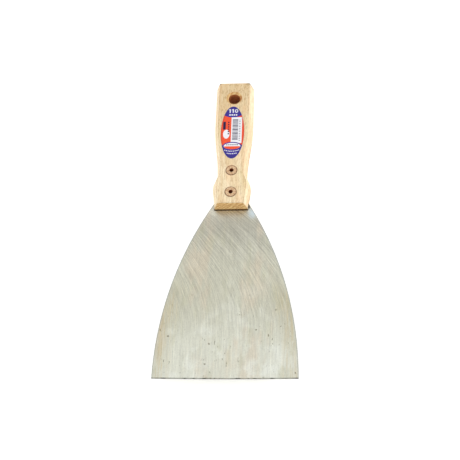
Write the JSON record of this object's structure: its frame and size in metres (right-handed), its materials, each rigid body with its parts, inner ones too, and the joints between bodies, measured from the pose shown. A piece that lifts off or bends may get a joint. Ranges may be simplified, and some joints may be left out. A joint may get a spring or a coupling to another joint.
{
  "type": "drywall taping knife",
  "caption": "Broad steel taping knife with long curved sides, held by tubular rivets in a slotted wooden handle with bevelled sides, an oval label and a hanging hole.",
  "frame": {"origin": "centre of the knife's footprint, at the level of the handle's back face, with the knife lying on its back", "axes": "+Y from the blade's working edge to the handle's butt, +Z out of the face that carries the label, +X across the blade"},
  "size_m": [0.11, 0.267, 0.0223],
  "materials": {
    "blade_steel": "taper-ground, fine curved grinding lines",
    "handle_wood": "plain planed beech",
    "rivet_metal": "dull, slightly brown",
    "label_paper": "glossy print"
  },
  "bodies": {
    "root": {"blade": "blade_steel", "handle": "handle_wood", "rivet_by_blade": "rivet_metal", "rivet_by_grip": "rivet_metal", "washer_by_blade": "rivet_metal", "washer_by_grip": "rivet_metal", "size_label": "label_paper"}
  },
  "joints": []
}
